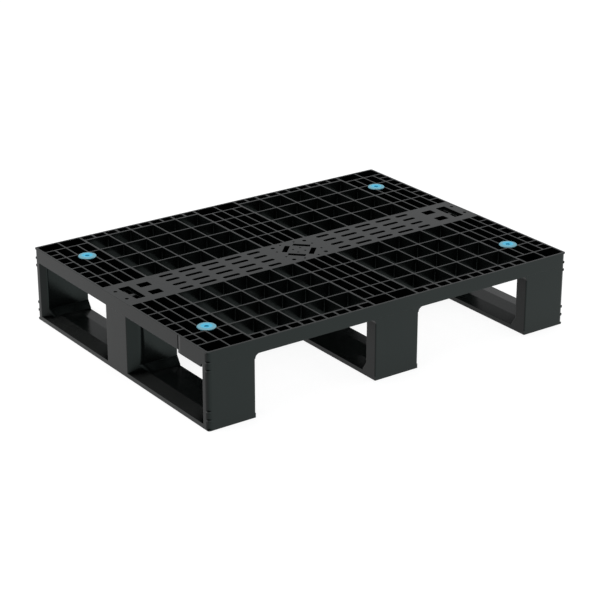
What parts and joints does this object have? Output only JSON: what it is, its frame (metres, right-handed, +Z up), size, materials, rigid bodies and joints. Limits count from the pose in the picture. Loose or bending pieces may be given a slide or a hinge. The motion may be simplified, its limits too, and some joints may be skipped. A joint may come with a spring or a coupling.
{
  "type": "plastic pallet",
  "caption": "Low rectangular plastic pallet: open ribbed deck with a solid centre band, round anti-slip inserts and skids joined by hollow legs, for forks from every side.",
  "frame": {"origin": "on the floor under the centre of the pallet", "axes": "+X along the long side, +Y along the short side and the skids, +Z up"},
  "size_m": [0.8, 0.6, 0.1462],
  "materials": {
    "deck_plastic": "moulded black polypropylene, satin with fine grain and light handling scuffs",
    "skid_plastic": "moulded black polypropylene, satin, scuffed along the floor edges",
    "grommet_rubber": "sky-blue anti-slip elastomer, soft satin"
  },
  "bodies": {
    "root": {"deck": "deck_plastic", "skid_left": "skid_plastic", "skid_centre": "skid_plastic", "skid_right": "skid_plastic", "grommet_left_front": "grommet_rubber", "grommet_left_back": "grommet_rubber", "grommet_right_front": "grommet_rubber", "grommet_right_back": "grommet_rubber"}
  },
  "joints": []
}
